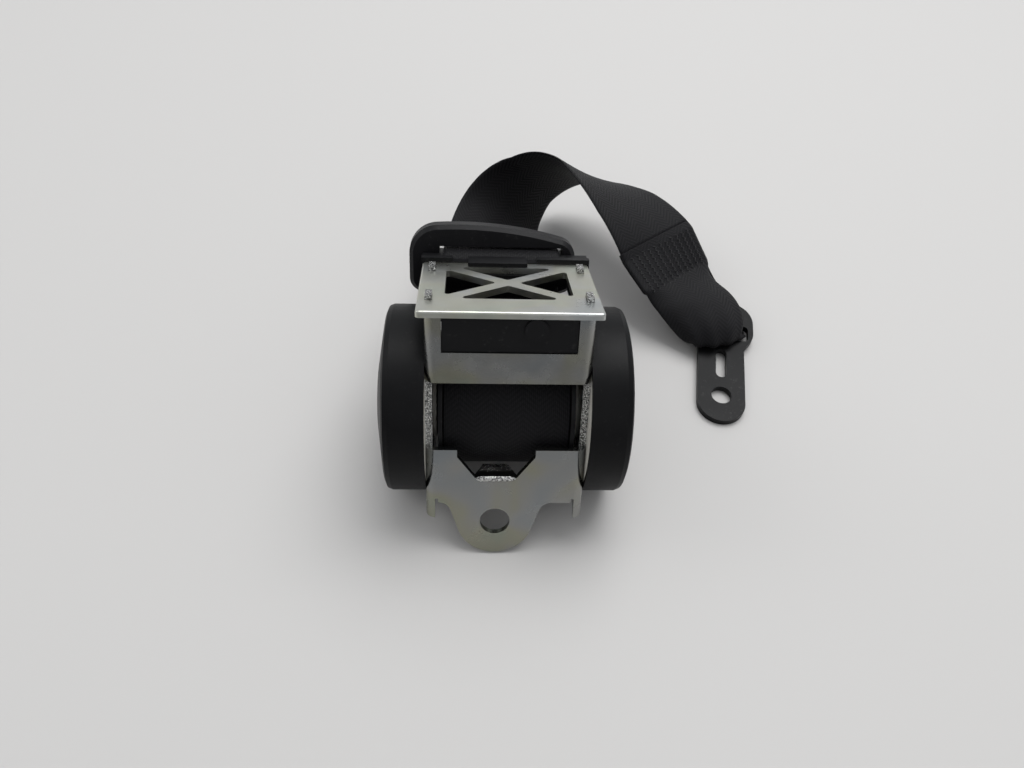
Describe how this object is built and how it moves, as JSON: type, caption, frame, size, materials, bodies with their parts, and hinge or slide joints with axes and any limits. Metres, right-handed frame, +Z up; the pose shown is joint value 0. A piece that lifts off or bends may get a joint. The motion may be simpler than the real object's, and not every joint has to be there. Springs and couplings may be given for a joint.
{
  "type": "seat belt with inertia reel",
  "caption": "Seat belt assembly: a leaning inertia reel in a steel frame with round side covers, its latch tongue at the webbing mouth, and a short free end with an anchor plate.",
  "frame": {"origin": "centre of the reel's bolt hole, on the front face of its plate", "axes": "+X along the spool's axis towards the sensor cover, +Y away from the viewer towards the belt's loop, +Z up from the table the reel leans on"},
  "size_m": [0.1718, 0.2047, 0.092],
  "materials": {
    "zinc_steel": "satin zinc plate",
    "black_plastic": "fine grained",
    "natural_plastic": "moulded",
    "die_cast": "as cast",
    "plain_steel": "plain",
    "polished_steel": "bright plated",
    "black_coated_steel": "satin black coat",
    "webbing": "woven"
  },
  "bodies": {
    "reel": {"frame": "zinc_steel", "tie_plate": "zinc_steel", "web_guide": "black_plastic", "bearing_bush_left": "natural_plastic", "bearing_bush_right": "natural_plastic", "spring_base": "natural_plastic", "spring_cover": "black_plastic", "spring_cover_pins": "natural_plastic", "return_spring": "plain_steel", "sensor_base": "natural_plastic", "sensor_cover": "black_plastic", "sensor_cover_pins": "natural_plastic", "sensor_seat": "natural_plastic", "pawl_pin": "plain_steel"},
    "spool": {"spool": "die_cast", "webbing_pin": "plain_steel", "webbing_roll": "webbing", "axle": "plain_steel", "spring_arbor": "natural_plastic", "ratchet_wheel": "plain_steel", "control_disc": "natural_plastic"},
    "belt": {"webbing_run": "webbing", "webbing_strap": "webbing", "webbing_end": "webbing"},
    "tongue": {"tongue_body": "black_plastic", "tongue_plate": "polished_steel"},
    "anchor": {"anchor_plate": "black_coated_steel"},
    "pawl": {"locking_pawl": "plain_steel"},
    "ball": {"sensor_ball": "plain_steel"},
    "lever": {"sensor_lever": "natural_plastic"}
  },
  "joints": [
    {"name": "spool_turn", "type": "hinge", "parent": "reel", "child": "spool", "pos_m": [0.0036, 0.0431, 0.02228], "axis": [1, 0, 0], "range_deg": [0, 720], "stiffness_Nm_per_rad": 0.002, "springref_deg": -2692.9, "deforming": ["return_spring"]},
    {"name": "belt_pull", "type": "slide", "parent": "reel", "child": "belt", "axis": [0, 0.4378, 0.8991], "range_m": [0, 0.327], "deforming": ["webbing_run"]},
    {"name": "tongue_slide", "type": "slide", "parent": "belt", "child": "tongue", "axis": [0, 0.8991, -0.4378], "range_m": [0, 0.006]},
    {"name": "anchor_swing", "type": "hinge", "parent": "belt", "child": "anchor", "pos_m": [0.11244, 0.11942, -0.01027], "axis": [-0.9869, 0.1616, 0], "range_deg": [-30, 75], "deforming": ["webbing_end"]},
    {"name": "pawl_lock", "type": "hinge", "parent": "reel", "child": "pawl", "pos_m": [0.03655, 0.02855, 0.04382], "axis": [-1, 0, 0], "range_deg": [0, 12], "stiffness_Nm_per_rad": 0.002, "springref_deg": -34.38},
    {"name": "ball_roll", "type": "hinge", "parent": "reel", "child": "ball", "pos_m": [0.0406, 0.03684, 0.00942], "axis": [-1, 0, 0], "range_deg": [0, 10]},
    {"name": "lever_lift", "type": "hinge", "parent": "reel", "child": "lever", "pos_m": [0.0406, 0.02591, 0.00752], "axis": [1, 0, 0], "range_deg": [0, 8]}
  ],
  "couplings": [
    {"joint": "belt_pull", "follows": "spool_turn", "m_per_rad": 0.026},
    {"joint": "lever_lift", "follows": "ball_roll", "ratio": 0.8}
  ]
}
